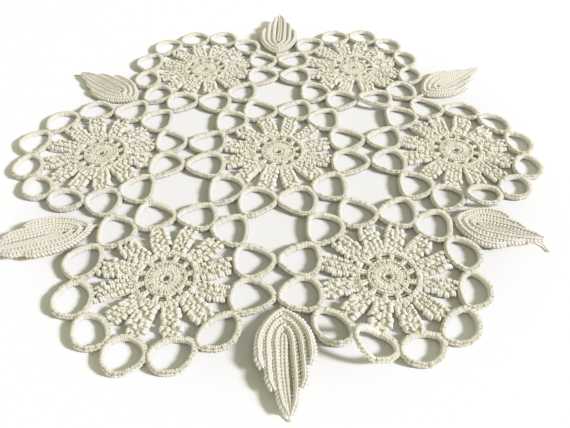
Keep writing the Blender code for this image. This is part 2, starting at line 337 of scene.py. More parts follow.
strandCotton = makeCotton("strand", cotton["paintedShade"])
groundCotton = makeCotton("ground")
paintedGrooveShadeCotton = makeCotton("paintedGrooveShade")
print("doily: cotton ready")


# Yarn: a stitch is a few short strands, each a closed tube drawn in at both ends
def smoothLine(points, steps):
    spots = [Vector(p) for p in points]
    spots = [2 * spots[0] - spots[1]] + spots + [2 * spots[-1] - spots[-2]]
    line = []
    for k in range(steps + 1):
        at = k / steps * (len(points) - 1)
        n = min(int(at), len(points) - 2)
        t = at - n
        a, b, c, d = spots[n:n + 4]
        bend, twist = 2 * a - 5 * b + 4 * c - d, 3 * b - a - 3 * c + d
        line.append(0.5 * (2 * b + (c - a) * t + bend * t * t + twist * t ** 3))
    return line


def addStrand(shape, points, radius, sides, steps, ends=0.55, swell=0, outwards=None, flat=1, paintedEndShade=(0.5, 0.5)):
    # ends is the share of the radius at both ends; swell fattens the middle; outwards is where a corner
    # points, and flat squeezes the strand that way; the last argument is how much painted shade darkens each
    # end
    crest = shape.verts.layers.float.get("crest") or shape.verts.layers.float.new("crest")
    line = smoothLine(points, steps)
    rounds = []
    side = outwards
    for k, spot in enumerate(line):
        ahead = (line[min(k + 1, steps)] - line[max(k - 1, 0)]).normalized()
        side = side or ahead.orthogonal().normalized()
        side = (side - ahead * side.dot(ahead)).normalized()
        other = ahead.cross(side)
        share = math.sin(math.pi * k / steps)
        girth = radius * (ends + (1 - ends) * share ** 0.5 + swell * share)
        # painted shade: the crest value stored on the corners falls towards both ends
        tone = 1 - paintedEndShade[0] * (1 - k / steps) ** 2 - paintedEndShade[1] * (k / steps) ** 2
        corners = []
        for n in range(sides):
            turn = 2 * math.pi * n / sides
            place = spot + girth * (side * math.cos(turn) * flat + other * math.sin(turn))
            corners.append(shape.verts.new(place * mm))
            corners[-1][crest] = tone
        rounds.append(corners)
    for near, far in zip(rounds, rounds[1:]):
        for n in range(sides):
            m = (n + 1) % sides
            shape.faces.new((near[n], near[m], far[m], far[n])).smooth = True
    for cap in (rounds[0][::-1], rounds[-1]):
        shape.faces.new(cap).smooth = True


def sectionSpot(width, height, turn, inset=0.0, square=0.75):
    # a spot on a band's rounded section: across and up, with the turn in degrees from the inner side
    c, s = math.cos(math.radians(turn)), math.sin(math.radians(turn))
    across = math.copysign(abs(c) ** square, c) * (width / 2 - inset)
    up = height / 2 + math.copysign(abs(s) ** square, s) * (height / 2 - inset)
    return across, up


def stitchKind(name, build):
    # a collection of the variants of one stitch
    kind = bpy.data.collections.new(name)
    for number in range(stitchVariants):
        dice = random.Random(name + str(number))
        shape = bmesh.new()
        build(shape, lambda spread: dice.uniform(-spread, spread))
        kind.objects.link(bpy.data.objects.new(name + str(number), meshOf(shape, name)))
    return kind


def addLoop(curve, spots):
    # a closed line through spots in mm
    spline = curve.splines.new("POLY")
    spline.points.add(len(spots) - 1)
    for point, (x, y) in zip(spline.points, spots):
        point.co = (x * mm, y * mm, 0, 1)
    spline.use_cyclic_u = True


def sectionCurve(name, width, height, inset, foot=0.0, sides=8, square=0.75):
    # closed section that is swept under the stitches
    curve = bpy.data.curves.new(name, "CURVE")
    curve.dimensions = "2D"
    turns = [360 * (n + 0.5) / sides for n in range(sides)]
    spots = [sectionSpot(width, height, turn, inset, square) for turn in turns]
    addLoop(curve, [(across, up + foot) for across, up in spots])
    return bpy.data.objects.new(name, curve)


# Geometry Nodes: stitches set along paths, on a swept core
def makeRowTree():
    tree = bpy.data.node_groups.new("crochetedRows", "GeometryNodeTree")
    addSockets(
        tree, "INPUT",
        ("Geometry", "Geometry"), ("Stitches", "Collection"), ("Core Section", "Object"),
        ("Stitch Pitch", "Float", 1.6 * mm), ("Size Spread", "Float", 0.06), ("Turn Spread", "Float", 0.08),
        ("Seed", "Int", 1), ("Strand Cotton", "Material"), ("Ground Cotton", "Material"),
    )
    addSockets(tree, "OUTPUT", ("Geometry", "Geometry"))
    given = addNode(tree, "NodeGroupInput").outputs

    def worked(kind, inputs=None, **settings):
        return addNode(tree, kind, inputs, **settings).outputs[0]

    def compute(operation, first, second=0):
        return worked("ShaderNodeMath", {0: first, 1: second}, operation=operation)

    def named(kind, name):
        return worked("GeometryNodeInputNamedAttribute", {"Name": name}, data_type=kind)

    def dice(kind, low, high, seed):
        # the node holds a pair of ends for each kind, and an output
        first = {"FLOAT_VECTOR": 0, "FLOAT": 2, "INT": 4}[kind]
        inputs = {first: low, first + 1: high, "Seed": compute("ADD", given["Seed"], seed)}
        return addNode(tree, "FunctionNodeRandomValue", inputs, data_type=kind).outputs[first // 2]

    # the path, divided evenly into stitches
    curve = worked("GeometryNodeMeshToCurve", {"Mesh": given["Geometry"]})
    length = addNode(tree, "GeometryNodeSplineLength").outputs["Length"]
    spaces = compute("ROUND", compute("DIVIDE", length, given["Stitch Pitch"]))
    count = compute("ADD", spaces, compute("SUBTRACT", 1, worked("GeometryNodeInputSplineCyclic")))
    even = worked("GeometryNodeResampleCurve", {"Curve": curve, "Count": count}, mode="COUNT")

    # each stitch's turn and size
    tangent = worked("GeometryNodeInputTangent")
    up = named("FLOAT_VECTOR", "up")
    girth = named("FLOAT", "girth")
    axes = {"Primary Axis": up, "Secondary Axis": tangent}
    wobble = {0: dice("FLOAT_VECTOR", (-1, -1, -1), (1, 1, 1), 11), "Scale": given["Turn Spread"]}
    tilt = worked("ShaderNodeVectorMath", wobble, operation="SCALE")
    turns = {
        "Rotation": worked("FunctionNodeAxesToRotation", axes, primary_axis="Z", secondary_axis="X"),
        "Rotate By": worked("FunctionNodeEulerToRotation", {0: tilt}),
    }
    low = compute("SUBTRACT", 1, given["Size Spread"])
    high = compute("ADD", 1, given["Size Spread"])
    sizes = {
        "X": dice("FLOAT", low, high, 21),
        "Y": compute("MULTIPLY", girth, dice("FLOAT", low, high, 22)),
        "Z": compute("MULTIPLY", girth, dice("FLOAT", low, high, 23)),
    }

    # the stitches
    kinds = {"Collection": given["Stitches"], "Separate Children": True, "Reset Children": True}
    placed = worked("GeometryNodeInstanceOnPoints", {
        "Points": even,
        "Instance": worked("GeometryNodeCollectionInfo", kinds),
        "Pick Instance": True,
        "Instance Index": dice("INT", 0, stitchVariants - 1, 31),
        "Rotation": worked("FunctionNodeRotateRotation", turns, rotation_space="LOCAL"),
        "Scale": worked("ShaderNodeCombineXYZ", sizes),
    })
    stitches = worked("GeometryNodeRealizeInstances", {0: placed})
    stitches = {"Geometry": stitches, "Material": given["Strand Cotton"]}

    # the core under them
    across = worked("ShaderNodeVectorMath", {0: up, 1: tangent}, operation="CROSS_PRODUCT")
    section = addNode(tree, "GeometryNodeObjectInfo", {"Object": given["Core Section"]})
    swept = worked("GeometryNodeCurveToMesh", {
        "Curve": worked("GeometryNodeSetCurveNormal", {"Curve": curve, "Normal": across}, mode="FREE"),
        "Profile Curve": section.outputs["Geometry"],
        "Scale": girth,
        "Fill Caps": True,
    })
    core = worked("GeometryNodeSetShadeSmooth", {"Geometry": swept})
    core = {"Geometry": core, "Material": given["Ground Cotton"]}

    joined = addNode(tree, "GeometryNodeJoinGeometry")
    for part in (core, stitches):
        tree.links.new(worked("GeometryNodeSetMaterial", part), joined.inputs[0])
    addNode(tree, "NodeGroupOutput", {0: joined.outputs[0]})
    return tree


rowTree = makeRowTree()


def pathObject(name, paths):
    # paths are (line, ups, girths, closed) in metres, made one mesh of edges
    spots, edges, ups, girths = [], [], [], []
    for line, upwards, girth, closed in paths:
        start = len(spots)
        spots += [tuple(p) for p in line]
        ups += [tuple(u) for u in upwards]
        girths += list(girth)
        edges += [(start + k, start + k + 1) for k in range(len(line) - 1)]
        if closed:
            edges.append((start + len(line) - 1, start))
    mesh = bpy.data.meshes.new(name)
    mesh.from_pydata(spots, edges, [])
    upLayer = mesh.attributes.new("up", "FLOAT_VECTOR", "POINT")
    upLayer.data.foreach_set("vector", [x for u in ups for x in u])
    mesh.attributes.new("girth", "FLOAT", "POINT").data.foreach_set("value", girths)
    return addObject(name, mesh)


def crochetRow(name, paths, stitches, section, pitch, seed, sizeSpread=0.06, turnSpread=0.08):
    # works the stitches along the paths and gives a plain mesh object
    worked = pathObject(name + "Paths", paths)
    rows = worked.modifiers.new("rows", "NODES")
    rows.node_group = rowTree
    given = {
        "Stitches": stitches, "Core Section": section, "Stitch Pitch": pitch * mm, "Size Spread": sizeSpread,
        "Turn Spread": turnSpread, "Seed": seed, "Strand Cotton": strandCotton, "Ground Cotton": groundCotton,
    }
    for item in rowTree.interface.items_tree:
        if item.in_out == "INPUT" and item.name in given:
            rows[item.identifier] = given[item.name]
    mesh = evaluatedMesh(worked)
    # the path object goes with its mesh
    bpy.data.meshes.remove(worked.data)
    return addObject(name, mesh)


def joinPieces(name, pieces):
    # one mesh from several worked rows, with their materials
    whole = bmesh.new()
    materials = []
    for piece in pieces:
        slots = []
        for material in piece.data.materials:
            if material not in materials:
                materials.append(material)
            slots.append(materials.index(material))
        start = len(whole.faces)
        whole.from_mesh(piece.data)
        whole.faces.ensure_lookup_table()
        for face in whole.faces[start:]:
            face.material_index = slots[face.material_index]
        bpy.data.meshes.remove(piece.data)
    return addObject(name, meshOf(whole, name, *materials))


def faceCount(pieces):
    return sum(len(piece.data.polygons) for piece in pieces.values())


# The doily's plan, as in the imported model
flowerPitch = 110.0
flowers = {
    "middle": None, "right": 0, "back_right": 60, "back_left": 120,
    "left": 180, "front_left": 240, "front_right": 300,
}
ringMiddles = {
    "middle": (
        (46.0, 15), (43.6, 45), (44.0, 76), (44.6, 107), (42.7, 138), (46.2, 169),
        (46.4, 197), (45.6, 228), (44.8, 255), (44.6, 284), (44.0, 314), (45.5, 345),
    ),
    "right": (
        (40.8, 8), (40.6, 40), (42.0, 72), (45.6, 102), (44.0, 131), (46.1, 164),
        (43.8, 194), (44.2, 225), (42.4, 252), (40.6, 280), (42.4, 308), (42.2, 337),
    ),
    "back_right": (
        (41.5, 14), (43.0, 45), (45.6, 75), (44.9, 104), (45.0, 135), (46.4, 165),
        (45.0, 197), (44.2, 227), (42.8, 254), (42.8, 284), (44.0, 316), (42.0, 343),
    ),
    "back_left": (
        (42.7, 13), (43.0, 46), (44.8, 76), (45.3, 106), (45.4, 136), (43.9, 168),
        (42.9, 200), (43.6, 228), (42.9, 255), (43.2, 284), (43.4, 315), (44.2, 346),
    ),
    "left": (
        (42.8, 15), (44.2, 46), (46.0, 78), (46.0, 107), (46.6, 136), (46.2, 166),
        (43.0, 197), (42.4, 226), (41.8, 255), (42.6, 284), (42.9, 313), (43.6, 345),
    ),
    "front_left": (
        (44.4, 13), (42.6, 44), (41.8, 75), (42.7, 106), (43.6, 138), (45.2, 167),
        (44.8, 196), (42.3, 225), (43.4, 253), (42.8, 282), (42.2, 314), (44.8, 343),
    ),
    "front_right": (
        (42.8, 19), (44.0, 47), (45.6, 76), (45.0, 103), (43.3, 134), (45.2, 164),
        (44.2, 194), (40.6, 224), (40.4, 254), (40.8, 284), (41.2, 316), (41.6, 348),
    ),
}
# rings that stand off the table: how far their outer end and their left and right sides rise
raisedRings = {
    ("front_right", 8): (3.5, 0.0, 6.5),
    ("back_right", 9): (1.5, 0.0, 2.0),
    ("right", 9): (1.0, 0.0, 1.5),
}
zUp = Vector((0, 0, 1))


# each two neighbours share two pairs of rings, by the way between them in twelfths of a turn
joinedRings = {}
outerFlowers = list(flowers)[1:]
for k, name in enumerate(outerFlowers):
    for one, other, way in (("middle", name, 2 * k), (name, outerFlowers[(k + 1) % 6], 2 * k + 4)):
        for a, b in ((way % 12, (way + 5) % 12), ((way - 1) % 12, (way + 6) % 12)):
            joinedRings[one, a] = other, b
            joinedRings[other, b] = one, a


def polar(radius, degrees):
    return Vector((radius * math.cos(math.radians(degrees)), radius * math.sin(math.radians(degrees)), 0.0))


def leftOf(way):
    return Vector((-way.y, way.x, 0.0)).normalized()


def flowerCentre(name):
    return Vector((0, 0, 0)) if flowers[name] is None else polar(flowerPitch, flowers[name])


# Rings: single crochet worked over a padding cord
ring = {
    "width": 2.7,
    "height": 3.6,
    "pitch": 1.74,
    "strand": 0.56,
    "lean": 0.44,
    "slant": 0.30,
    "chain": 0.38,
    "halfWidth": 9.9,  # at the most
    "shared": 0.7,  # how far the bands of two neighbours run into each other
    "drawn": math.radians(38),  # how much of a side is drawn to the neighbour
    "point": 0.28,  # how much a joined ring narrows to its outer end
    "shortest": 17.0,
    "longest": 20.5,
    "petalTip": 33.2,  # from the flower's middle
    "seam": 0.3,
    "steps": 9,  # in each quarter
}


def ringEnds(flower, number):
    distance, direction = ringMiddles[flower][number % 12]
    centre = polar(distance, direction)
    outward = centre.normalized()
    if (flower, number % 12) in joinedRings:
        other, otherRing = joinedRings[flower, number % 12]
        partner = flowerCentre(other) + polar(*ringMiddles[other][otherRing]) - flowerCentre(flower)
        joint = (centre + partner) / 2
        inner = outward * (ring["petalTip"] + ring["seam"])
        return inner, joint - (joint - inner).normalized() * ring["seam"] / 2, True
    length = 2 * (centre.length - ring["petalTip"] - ring["seam"])
    length = min(max(length, ring["shortest"]), ring["longest"])
    return centre - outward * length / 2, centre + outward * length / 2, False


def ringLine(flower, number):
    inner, outer, joined = ringEnds(flower, number)
    centre = (inner + outer) / 2
    outward = (outer - inner).normalized()
    left = leftOf(outward)
    halfLength = (outer - inner).length / 2 - ring["width"] / 2
    point = ring["point"] if joined else 0.0

    def oval(turn, halfWidth):
        across = halfWidth * math.sin(turn) * (1 - point * math.cos(turn))
        return outward * halfLength * math.cos(turn) + left * across

    line = []
    start = 0.0
    for quarter, side in enumerate((1, 1, -1, -1)):
        ends = ringEnds(flower, number + side)
        towards = (ends[0] + ends[1]) / 2 - centre
        drawn = towards.normalized() * (towards.length + ring["shared"] - ring["width"]) / 2
        halfWidth = min(drawn.length, ring["halfWidth"] - ring["width"] / 2)
        meeting = math.atan2(side * drawn.dot(left) * halfLength, drawn.dot(outward) * halfWidth) * side
        meeting %= 2 * math.pi
        pull = drawn - oval(meeting, halfWidth)
        end = (meeting, math.pi, meeting, 2 * math.pi)[quarter]
        for step in range(ring["steps"]):
            turn = start + (end - start) * step / ring["steps"]
            nearness = math.exp(-((turn - meeting) / ring["drawn"]) ** 2)
            line.append(centre + oval(turn, halfWidth) + pull * nearness)
        start = end
    rises = raisedRings.get((flower, number), (0, 0, 0))
    for place in line:
        way = (place - centre) / halfLength
        shares = (max(way.dot(outward), 0), max(way.dot(left), 0), max(-way.dot(left), 0))
        place.z = sum(rise * share for rise, share in zip(rises, shares))
    return line


def buildRingStitch(shape, vary):
    # two slanted strands round the band, from its inner foot to its outer one, and a chain on its outer edge
    width, height, strand = ring["width"], ring["height"], ring["strand"]
    turns = (-62, -10, 45, 90, 135, 190, 232)
    for lean in (-ring["lean"], ring["lean"]):
        points = []
        for turn in turns:
            across, up = sectionSpot(width, height, turn, strand * 0.42)
            share = (turn - turns[0]) / (turns[-1] - turns[0])
            along = lean * (1.1 - 0.3 * share) + ring["slant"] * (share - 0.5) + vary(0.04)
            points.append((along, across, up))
        inwards = Vector((0, 1, 0))
        addStrand(shape, points, strand, 4, 5, ends=0.85, outwards=inwards, flat=0.6, paintedEndShade=(0.4, 0.2))
    # painted shade: the chain's inner strand is darkened strongly, a dark line beside the chain
    for turn, inset, paintedEndShade in ((114, 0.22, 1.6), (146, -0.04, 0.1)):
        points = []
        for along, on in ((-1.25, 0), (-0.1, 6), (1.1, 9)):
            across, up = sectionSpot(width, height, turn + on + vary(2), inset)
            points.append((along, across, up))
        outwards = Vector((0, -0.6, 0.8))
        addStrand(shape, points, ring["chain"], 4, 2, ends=0.75, outwards=outwards, paintedEndShade=(paintedEndShade, paintedEndShade))


ringStitches = stitchKind("ringStitch", buildRingStitch)
ringSection = sectionCurve("ringCore", ring["width"], ring["height"], 0.32)


def makeRings(flower, seed):
    centre = flowerCentre(flower)
    paths = []
    for number in range(12):
        line = [(centre + place) * mm for place in ringLine(flower, number)]
        paths.append((line, [zUp] * len(line), [1.0] * len(line), True))
    made = crochetRow("ringStitches_" + flower, paths, ringStitches, ringSection, ring["pitch"], seed)
    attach(made, "root")
    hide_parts("rings_" + flower)
    return made


ringPieces = {flower: makeRings(flower, 100 + k) for k, flower in enumerate(flowers)}
print("doily: rings worked,", faceCount(ringPieces), "faces")


# Petals: two fingers side by side, crossed by rows of plump stitches
petal = {
    "rows": ((0.0, 3.9), (0.45, 4.6), (0.85, 5.0), (1.0, 3.2)),  # share of the length, half width
    "root": 14.9,  # from the flower's middle
    "first": 0.03,  # the stitches' ends, as shares of the length
    "last": 0.93,
    "firstSpread": (0, 0.05),
    "lastSpread": (-0.05, 0.02),
    "plump": (0.92, 1.08),
    "parting": (-0.3, 0.5),
    "steps": 8,
    "fullWidth": 4.9,  # half width at which a stitch has its full size
    "pitch": 3.1,
    "strand": 0.66,
    "height": 3.6,
    "core": (4.1, 2.8, 0.35),  # width, height and inset of the swept section
    "beads": ((-1, 2.5, 1.0, -0.64), (1, 2.15, 0.85, 0.87)),  # side, reach, thickness, place on the finger
    "foot": 1.02,
    "sway": 0.9,
    "sizeSpread": 0.14,
    "turnSpread": 0.22,
}


def petalEnds(flower, number):
    inner = ringEnds(flower, number)[0]
    tip = inner.normalized() * (inner.length - ring["seam"])
    return polar(petal["root"], (number + 0.5) * 30), tip


def petalWidth(share):
    rows = petal["rows"]
    near, far = next(pair for pair in zip(rows, rows[1:]) if share <= pair[1][0])
    part = (share - near[0]) / (far[0] - near[0])
    part = part * part * (3 - 2 * part) * 0.5 + part * 0.5
    return near[1] + (far[1] - near[1]) * part


def petalPaths(flower, number, dice):
    root, tip = petalEnds(flower, number)
    centre = flowerCentre(flower)
    left = leftOf(tip - root)
    sway = dice.uniform(-1, 1) * petal["sway"]
    plump = dice.uniform(*petal["plump"])
    paths = []
    for side in (-1, 1):
        line, girths = [], []
        first = petal["first"] + dice.uniform(*petal["firstSpread"])
        last = petal["last"] + dice.uniform(*petal["lastSpread"])
        part = dice.uniform(*petal["parting"])
        # the petal bows to one side, and its fingers part at the tip
        for step in range(petal["steps"] + 1):
            share = first + (last - first) * step / petal["steps"]
            half = petalWidth(share) * plump
            aside = side * (half * 0.5 + part * share ** 3)
            aside += sway * (math.sin(math.pi * share) + 0.4 * share)
            place = root.lerp(tip, share) + left * aside
            line.append((centre + place) * mm)
            girths.append(half / petal["fullWidth"])
        # the finger on the left runs inwards, so that its bigger stitches also lie on the outer side
        if side > 0:
            line.reverse()
            girths.reverse()
        paths.append((line, [zUp] * len(line), girths, False))
    return paths


def buildPetalStitch(shape, vary):
    # an outer bead and, half a stitch on, a smaller inner one; each is two plump slanted strands
    top = petal["height"]
    for side, reach, thick, on in petal["beads"]:
        lean = (0.40 + vary(0.25)) * side
        for at in (on - 0.56 * thick, on + 0.56 * thick):
            rise = vary(0.25)
            points = (
                (at - lean, side * reach, petal["foot"]),
                (at - lean * 0.6 + vary(0.1), side * reach * 0.98, top * 0.52),
                (at + vary(0.1), side * (reach * 0.62 + vary(0.1)), top * 0.90 + rise),
                (at + lean, side * 0.25, top * 0.80 + rise),
            )
            addStrand(shape, points, petal["strand"] * thick, 6, 4, ends=0.5, swell=0.35, paintedEndShade=(0.42, 0.34))


petalStitches = stitchKind("petalStitch", buildPetalStitch)
petalSection = sectionCurve("petalCore", *petal["core"])


# Flower middle: a close disc round an eye, open posts, and a ridge that carries the petals
middle = {
    "eyeHole": 1.7,
    "eye": 2.6,
    "disc": 5.8,
    "rim": 9.7,
    "posts": 12.3,
    "round": 14.9,
    "ridge": 15.9,
    "holeInner": 10.6,
    "holeOuter": 14.0,
    "holeReach": 9.4,  # degrees to each side
    "outer": 16.6,
    "groundHalf": 0.55,
    "groundHeight": 1.0,
    "groundInset": 0.5,  # from a petal's edge
    "pathSteps": 24,  # at least
    "sizeSpread": 0.1,
    "turnSpread": 0.16,
}


def circlePath(flower, radius, height, phase, steps):
    centre = flowerCentre(flower)
    line = [(centre + polar(radius, phase + 360 * k / steps) + zUp * height) * mm for k in range(steps)]
    return (line, [zUp] * steps, [1.0] * steps, True)


def buildEyeStitch(shape, vary):
    # two strands over the edge of the hole
    for lean in (-0.25, 0.25):
        points = ((lean, 0.75, -1.2), (lean + vary(0.1), 0.55, 0.2), (lean * 1.4, -0.6 + vary(0.1), 0.5))
        addStrand(shape, points, 0.42, 4, 3, ends=0.6, paintedEndShade=(0.9, 0.1))


def buildDiscStitch(shape, vary):
    # two long strands from the rim to the eye, crossed by three short ones
    for side in (-1, 1):
        points = (
            (0.14 * side, 3.2, -0.3),
            (0.26 * side + vary(0.06), 1.2, 0.15 + vary(0.06)),
            (0.44 * side + vary(0.06), -1.2, 0.3 + vary(0.06)),
            (0.62 * side, -3.5, 0.1),
        )
        addStrand(shape, points, 0.54, 4, 4, ends=0.8, outwards=zUp, flat=0.7, paintedEndShade=(0.3, 0.7))
    for place, reach in ((1.4, 0.45), (-0.6, 0.72), (-2.6, 1.0)):
        place += vary(0.3)
        points = ((-reach, place + 0.6, 0.15), (vary(0.1), place, 0.55), (reach, place - 0.6, 0.15))
        addStrand(shape, points, 0.38, 4, 3, ends=0.5, paintedEndShade=(0.7, 0.7))


def buildChainStitch(shape, vary):
    # the two sides of a chain's loop
    for side in (-1, 1):
        points = (
            (-1.15, 0.05 * side, 0.1),
            (-0.1, 0.40 * side + vary(0.06), 0.30 + vary(0.06)),
            (1.0, 0.48 * side, 0.2 + vary(0.05)),
        )
        addStrand(shape, points, 0.42, 4, 3)


def buildPostStitch(shape, vary):
    # a post of two strands, wound with two more
    for side in (-1, 1):
        points = (
            (0.75 * side, 2.6, 0.4),
            (0.60 * side + vary(0.08), 1.0, 0.55),
            (0.64 * side + vary(0.08), -1.0, 0.65),
            (1.25 * side, -2.7, 0.8),
        )
        addStrand(shape, points, 0.74, 5, 4, ends=0.9)
    for place in (0.9, -0.6):
        points = ((-1.25, place + 0.45, 0.3), (vary(0.1), place, 1.3), (1.25, place - 0.45, 0.3))
        addStrand(shape, points, 0.42, 4, 3, ends=0.5)


def buildRidgeStitch(shape, vary):
    # two strands side by side over the ridge
    for lean in (-0.42, 0.42):
        points = (
            (lean - 0.15, 1.0, -0.9),
            (lean, 0.7, 0.1 + vary(0.15)),
            (lean + vary(0.1), 0.0, 0.45 + vary(0.15)),
            (lean + 0.1, -0.8, 0.1),
            (lean + 0.15, -1.2, -0.9),
        )
        addStrand(shape, points, 0.46, 4, 4, ends=0.7)


middleRows = (
    # name, stitch, radius, height, stitches round, phase in degrees
    ("eye", buildEyeStitch, middle["eye"], 2.0, 10, 0),
    ("disc", buildDiscStitch, middle["disc"], 2.0, 24, 7.5),
    ("rim", buildChainStitch, middle["rim"], 2.3, 34, 0),
    ("posts", buildPostStitch, middle["posts"], 1.3, 12, 15),
    ("round", buildChainStitch, middle["round"], 2.6, 48, 0),
    ("ridge", buildRidgeStitch, middle["ridge"], 2.1, 58, 0),
)
middleKinds = {row[0]: stitchKind(row[0] + "Stitch", row[1]) for row in middleRows}
thinSection = sectionCurve("thinCore", 0.5, 0.5, 0.1, sides=3)
middleSections = {
    name: sectionCurve(name + "Core", width, height, 0.1, foot=-1.6)
    for name, width, height in (("rim", 1.3, 1.6), ("round", 1.2, 1.6), ("ridge", 1.6, 1.9))
}


def flowerGround(flower):
    # the thin close ground of the flower, cut flat with its holes
    outline = bpy.data.curves.new("ground", "CURVE")
    outline.dimensions = "2D"
    outline.fill_mode = "BOTH"
    outline.extrude = middle["groundHalf"] * mm
    shares = (0.12, 0.3, 0.45, 0.6, 0.75, 0.85, 0.93, 0.97)
    edge, holes = [], []
    for number in range(12):
        root, tip = petalEnds(flower, number)
        left = leftOf(tip - root)
        for side, along in ((-1, shares), (1, shares[::-1])):
            for share in along:
                aside = side * (petalWidth(share) - middle["groundInset"])
                edge.append(root.lerp(tip, share) + left * aside)
        edge.append(polar(middle["outer"], (number + 1) * 30))
        turns = [number * 30 + middle["holeReach"] * step / 2 for step in range(-2, 3)]
        hole = [polar(middle["holeInner"], turn) for turn in turns]
        holes.append(hole + [polar(middle["holeOuter"], turn) for turn in turns[::-1]])
    eye = [polar(middle["eyeHole"], 30 * k) for k in range(12)]
    centre = flowerCentre(flower)
    for spots in (edge, *holes, eye):
        addLoop(outline, [(centre + spot).xy for spot in spots])
    mesh = evaluatedMesh(addObject("ground", outline))
    shape = bmesh.new()
    shape.from_mesh(mesh)
    bpy.data.meshes.remove(mesh)
    bpy.data.curves.remove(outline)
    bmesh.ops.remove_doubles(shape, verts=shape.verts, dist=0.01 * mm)
    bmesh.ops.recalc_face_normals(shape, faces=shape.faces)
    for vert in shape.verts:
        vert.co.z += middle["groundHeight"] * mm
    name = "flowerGround_" + flower
    return addObject(name, meshOf(shape, name, groundCotton))


def makeFlower(flower, seed):
    dice = random.Random(seed)
    paths = [path for number in range(12) for path in petalPaths(flower, number, dice)]
    spreads = petal["sizeSpread"], petal["turnSpread"]
    worked = [crochetRow("petals", paths, petalStitches, petalSection, petal["pitch"], seed, *spreads)]
    spreads = middle["sizeSpread"], middle["turnSpread"]
    for k, (name, _, radius, height, count, phase) in enumerate(middleRows):
        path = circlePath(flower, radius, height, phase, max(count, middle["pathSteps"]))
        pitch = 2 * math.pi * radius / count
        section = middleSections.get(name, thinSection)
        worked.append(crochetRow(name, [path], middleKinds[name], section, pitch, seed + k, *spreads))
    made = joinPieces("flowerStitches_" + flower, worked)
    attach(made, "root")
    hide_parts("flower_" + flower)
    ground = flowerGround(flower)
    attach(ground, "root")
    return made


flowerPieces = {flower: makeFlower(flower, 200 + 10 * k) for k, flower in enumerate(flowers)}
print("doily: flowers worked,", faceCount(flowerPieces), "faces")


# Leaves: ribs of single crochet bent round a double middle rib, the outer ones shorter
# Loose thread ends: x and y from the leaf's tip and z above the table, in mm
tails = {
    "front": ((0, 2.0, 2.4), (0, -0.8, 1.9), (-0.3, -2.0, 1.0), (0.4, -3.2, 0.6)),
    "front_right": ((-2.4, 1.0, 2.0), (0.6, -0.2, 1.3), (2.3, -2.2, 0.8), (3.0, -4.4, 0.6), (3.7, -6.0, 0.6)),
    "back_left": ((2.4, -1.0, 2.4), (-1.2, 0.8, 1.8), (-4.0, 1.6, 0.9), (-8.6, 2.6, 0.6)),
    "back": ((0, -2.4, 5.8), (0, 0.6, 6.6), (-0.6, 3.2, 7.2), (-0.9, 5.6, 7.6)),
}
# how far the middle ribs lie to the leaf's left, in mm, which leaves a groove on their right
grooves = {"front": -1.0, "front_left": 1.2, "front_right": -0.4, "back": -0.5}
leafColumns = (
    "rootX", "rootY", "tipX", "tipY", "halfWidth", "stalk", "tipRise", "leftRise", "rightRise", "taper",
)
leaves = {
    "front": (2.4, -112.4, 5.9, -163.6, 13.4, 1.0, 1.6, 4.6, 3.6, 3.6),
    "front_right": (95.8, -56.8, 137.5, -74.0, 14.2, 2.5, 2.5, 0.6, 1.0, 1.7),
    "back_right": (100.2, 60.1, 145.0, 89.5, 13.8, 6.4, 1.5, 0.8, 0.6, 2.2),
    "back": (-1.5, 117.0, 0.5, 168.5, 14.8, 10.4, 4.0, 1.6, 1.2, 4.5),
    "back_left": (-99.1, 57.2, -144.4, 89.2, 14.2, 5.4, 0.8, 0.6, 0.8, 2.8),
    "front_left": (-99.5, -59.8, -152.0, -81.0, 13.6, 3.7, 4.0, 2.5, 2.0, 2.8),
}


leafForm = {
    "lines": 7,  # from the edge, 0, to the middle rib; the ribs lie on lines 1, 3 and 5
    "ribEnds": (0.58, 0.76, 1.0),  # shares of the length, from the outermost rib
    "ribGap": 0.015,
    "rootHeight": 0.4,
    "thickness": 1.7,
    "ribRise": 0.9,
    "bend": 0.29,  # how far along the innermost lines begin
    "full": 0.42,  # share of the length where the edge is widest
    "innerFull": 0.4,
    "rounding": 0.72,
    "innerRounding": 0.3,
    "tipShare": 0.22,  # width at the tip
    "curl": 1.5,
    "pitch": 1.75,
    "middleRibs": 0.95,  # from the leaf's middle line to each of its two middle ribs
    "middleStart": 0.02,
    "middleEnd": 0.98,
    "middleGirth": 0.52,
    "stalkShare": 0.012,
    "stalkRises": (1.2, 1.6),
    "stalkGirth": 0.5,
    "tuck": 0.8,  # how many lines a rib's ends move in, over tuckShare of the length
    "tuckShare": 0.09,
    "ribWidth": 3.7,
    "ribHeight": 2.6,
    "square": 0.8,  # how round a rib is, from 0.5 for a box
    "sizeSpread": 0.07,
    "turnSpread": 0.07,
    "groundTop": 0.85,
    "groundThickness": 1.0,
    "tailShare": 0.97,
    "tailRadius": 0.45,
}


def leafSpread(share, outwards, taper):
    # the share of the full half width
    fullShare = leafForm["full"] * (leafForm["innerFull"] + (1 - leafForm["innerFull"]) * outwards)
    if share < fullShare:
        rounding = leafForm["rounding"] - leafForm["innerRounding"] * (1 - outwards)
        return math.sin(math.pi / 2 * share / fullShare) ** rounding
    if share < leafForm["full"]:
        return 1.0
    past = (share - leafForm["full"]) / (1 - leafForm["full"])
    return 1 - (1 - leafForm["tipShare"]) * past ** taper


def leafFrame(name):
    leaf = dict(zip(leafColumns, leaves[name]))
    root = Vector((leaf["rootX"], leaf["rootY"], 0.0))
    forward = Vector((leaf["tipX"], leaf["tipY"], 0.0)) - root
    return leaf, root, forward, leftOf(forward)


